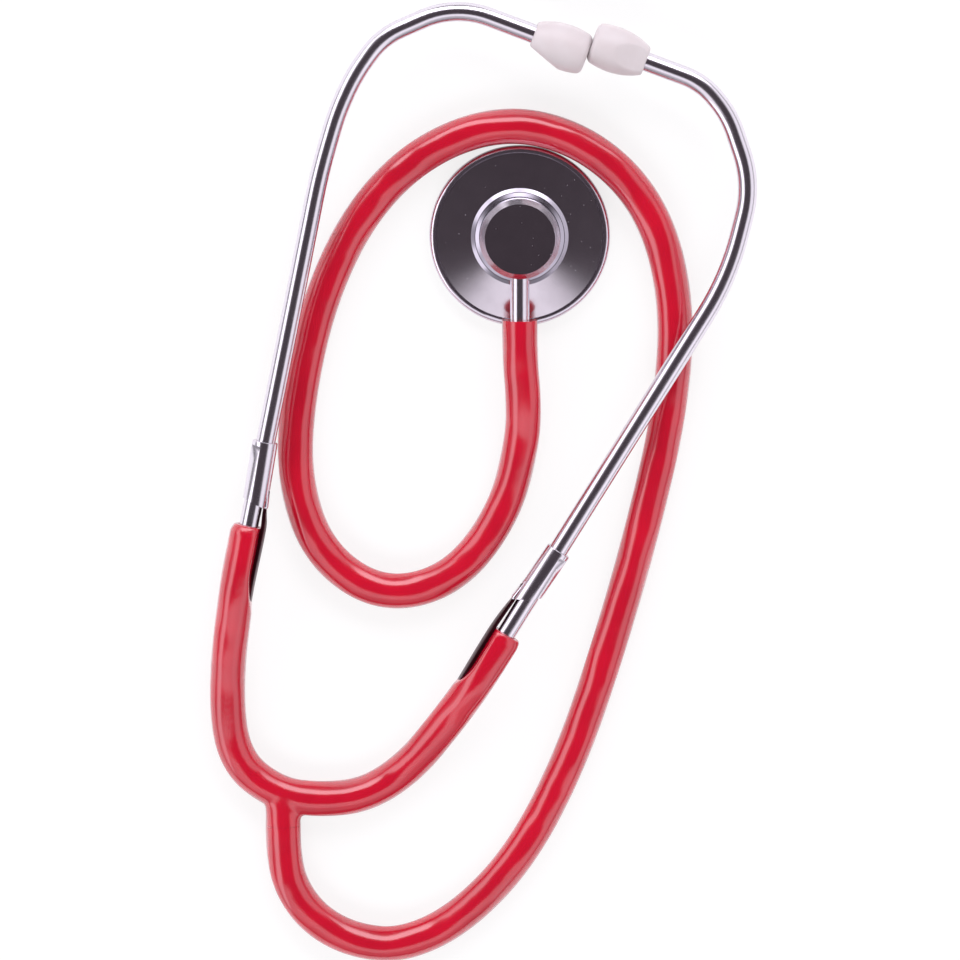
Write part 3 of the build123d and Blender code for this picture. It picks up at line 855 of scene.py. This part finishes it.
# Painted board, matt and white. White glow is mixed in, much where the camera sees
# the board and little where the object mirrors it, so that its shadows stay pale.
table_paint, tree, shader = new_material(
    "matt white board",
    Base_Color=hex_colour("#F2F2F2"),
    Roughness=0.9,
)
rays = add_node(tree, "ShaderNodeLightPath")
seen_lift = add_node(tree, "ShaderNodeMath", {
    0: rays.outputs["Is Camera Ray"], 1: SEEN_LIFT,
}, operation="MULTIPLY")
mirrored = add_node(tree, "ShaderNodeMath", {
    0: rays.outputs["Is Glossy Ray"], 1: rays.outputs["Is Transmission Ray"],
}, operation="MAXIMUM")
mirrored_lift = add_node(tree, "ShaderNodeMath", {
    0: mirrored.outputs["Value"], 1: MIRRORED_LIFT,
}, operation="MULTIPLY")
lift = add_node(tree, "ShaderNodeMath", {
    0: seen_lift.outputs["Value"], 1: mirrored_lift.outputs["Value"],
}, operation="MAXIMUM")
glow = add_node(tree, "ShaderNodeEmission", {"Color": (1, 1, 1, 1), "Strength": 1.0})
board = add_node(tree, "ShaderNodeMixShader", {
    "Fac": lift.outputs["Value"], 1: shader.outputs["BSDF"], 2: glow.outputs["Emission"],
})
tree.links.new(board.outputs["Shader"], tree.nodes["Material Output"].inputs["Surface"])
table.data.materials.append(table_paint)

world = bpy.data.worlds.new("pale tent")
bpy.context.scene.world = world
world.use_nodes = True
tree = world.node_tree
way = add_node(tree, "ShaderNodeTexCoord").outputs["Generated"]
parts = add_node(tree, "ShaderNodeSeparateXYZ", {"Vector": way})
east, north, up = parts.outputs["X"], parts.outputs["Y"], parts.outputs["Z"]
sideways = add_node(tree, "ShaderNodeMath", {0: east}, operation="ABSOLUTE").outputs["Value"]


def rise(value, start, end):
    """0 on the start's side and 1 on the end's side, with a soft step between them."""
    return add_node(tree, "ShaderNodeMapRange", {
        "Value": value, "From Min": start, "From Max": end,
    }, interpolation_type="SMOOTHSTEP").outputs["Result"]


def product(*factors):
    """The factors multiplied with each other."""
    result = factors[0]
    for factor in factors[1:]:
        multiplied = add_node(tree, "ShaderNodeMath", {0: result, 1: factor}, operation="MULTIPLY")
        result = multiplied.outputs["Value"]
    return result


def total(*terms):
    """The terms added up."""
    result = terms[0]
    for term in terms[1:]:
        added = add_node(tree, "ShaderNodeMath", {0: result, 1: term}, operation="ADD")
        result = added.outputs["Value"]
    return result


# Each step's two limits are parts of the direction's unit vector: to the east, to
# the north (beyond the ear tips), or up.
gap = product(
    rise(sideways, 0.72, 0.48),
    rise(north, -0.46, -0.3),
    rise(north, 0.7, 0.56),
    rise(up, 0.1, 0.4),
)
bright_north = product(
    rise(north, 0.58, 0.7),
    rise(north, 0.97, 0.88),
    rise(sideways, 0.75, 0.4),
)
bright_west = product(rise(east, -0.62, -0.7), rise(east, -0.95, -0.88))
bright_east = rise(east, 0.5, 0.7)
bright_south = product(
    rise(north, -0.36, -0.5),
    rise(north, -0.85, -0.68),
    rise(sideways, 0.8, 0.5),
)
EVERYWHERE = 0.62
level = total(
    EVERYWHERE,
    product(3.7, bright_north),
    product(1.7, bright_west),
    product(0.6, bright_east),
    product(0.65, bright_south),
)
# The tent darkens towards the table's edge.
EDGE_SHARE = 0.25
level = product(level, total(EDGE_SHARE, product(1 - EDGE_SHARE, rise(up, 0.02, 0.35))))
tent = add_node(tree, "ShaderNodeMix", {
    "Factor": gap, MIX_A: hex_colour("#F8F3FA"), MIX_B: hex_colour("#5A5057"),
}, data_type="RGBA")
tree.links.new(tent.outputs[MIX_RESULT], tree.nodes["Background"].inputs["Color"])
tree.links.new(level, tree.nodes["Background"].inputs["Strength"])


def soft_lamp(name, towards, distance, width, height, power):
    """A rectangular soft lamp that lies in one direction from the object and faces it."""
    way = Vector(towards).normalized()
    bpy.ops.object.light_add(type="AREA", location=VIEW_CENTRE + way * distance)
    lamp = bpy.context.object
    lamp.name = name
    lamp.data.shape = "RECTANGLE"
    lamp.data.size = width
    lamp.data.size_y = height
    lamp.data.energy = power
    lamp.rotation_euler = way.to_track_quat("Z", "Y").to_euler()
    lamp.visible_glossy = False


soft_lamp("soft lamp below", (-0.2, -0.8, 1.0), distance=1.6, width=1.1, height=0.6, power=10)
soft_lamp("soft lamp above", (0.35, 0.85, 1.0), distance=1.6, width=1.2, height=0.4, power=7)
